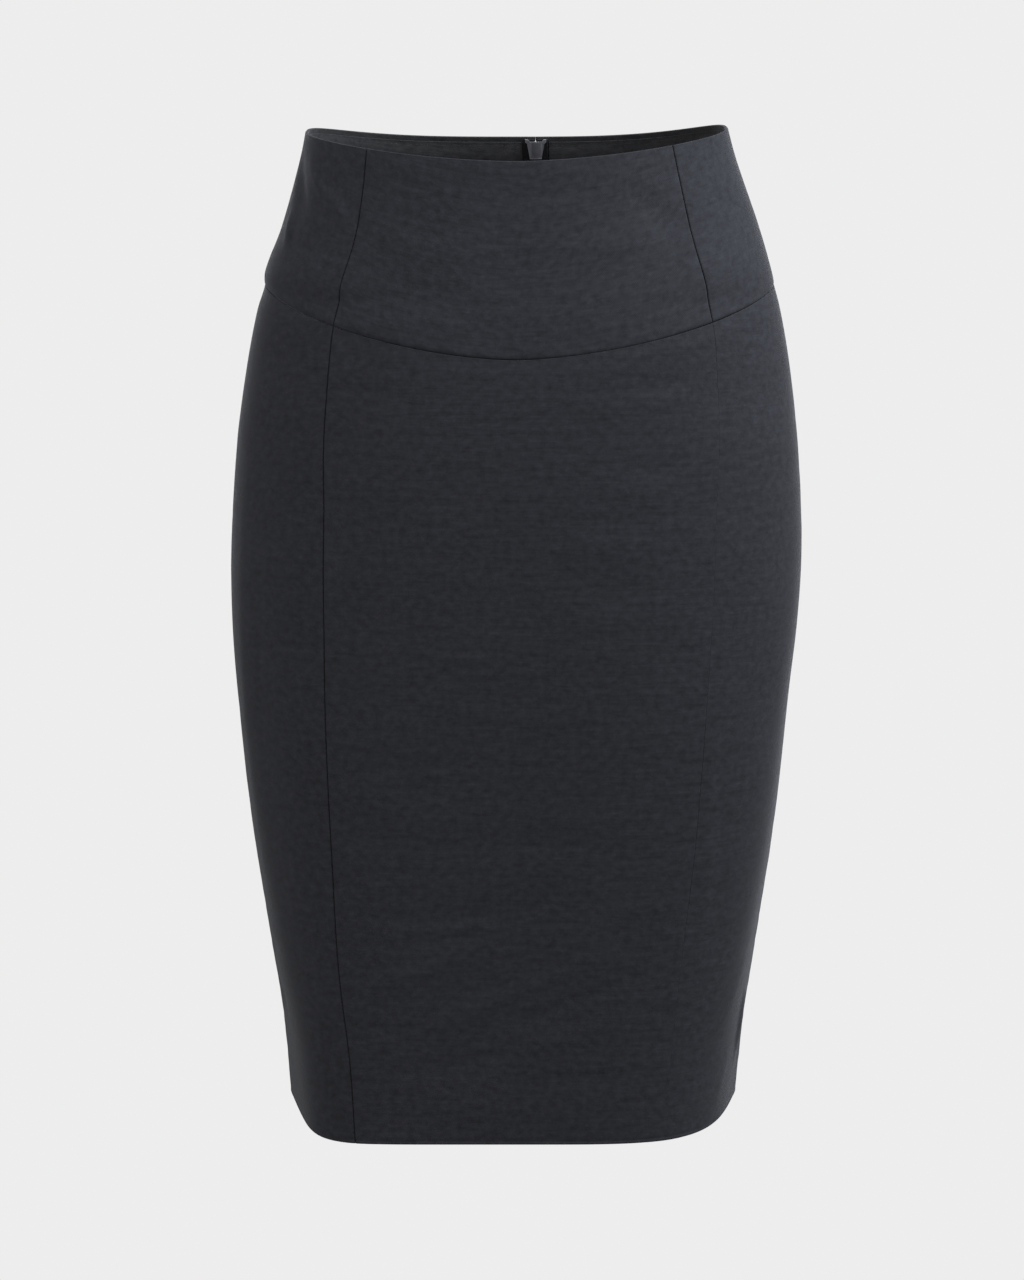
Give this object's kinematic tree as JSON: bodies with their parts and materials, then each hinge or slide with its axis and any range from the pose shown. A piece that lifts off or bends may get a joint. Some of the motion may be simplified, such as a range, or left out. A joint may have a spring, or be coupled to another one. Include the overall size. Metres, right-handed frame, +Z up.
{
  "type": "pencil skirt",
  "caption": "Knee-length pencil skirt in its worn shape, with a wide curved waist yoke, front princess seams, a concealed back zip and a walking vent.",
  "frame": {"origin": "centre of the waist opening, at the waistline where the wearer's waist holds the skirt up", "axes": "+Z up, the front faces -Y, +X is the wearer's left"},
  "size_m": [0.3455, 0.2339, 0.6],
  "materials": {
    "suiting": "matte fine plain-weave suiting with a slight slub",
    "facing": "matte suiting, inside of the waist",
    "zip_tape": "fine woven polyester tape",
    "zip_metal": "satin grey enamel"
  },
  "bodies": {
    "skirt": {"yoke_front_centre": "suiting", "yoke_front_side_left": "suiting", "yoke_front_side_right": "suiting", "yoke_back_left": "suiting", "yoke_back_right": "suiting", "skirt_front_centre": "suiting", "skirt_front_side_left": "suiting", "skirt_front_side_right": "suiting", "skirt_back_left": "suiting", "skirt_back_right": "suiting", "yoke_facing_back_left": "facing", "yoke_facing_back_right": "facing", "zip_tape_left": "zip_tape", "zip_tape_right": "zip_tape", "zip_slider": "zip_metal"},
    "pull_tab": {"zip_pull_tab": "zip_metal"}
  },
  "joints": [
    {"name": "pull_tab_swing", "type": "hinge", "parent": "skirt", "child": "pull_tab", "pos_m": [0.01336, 0.08952, -0.00166], "axis": [1, 0, 0], "range_deg": [0, 165]}
  ]
}
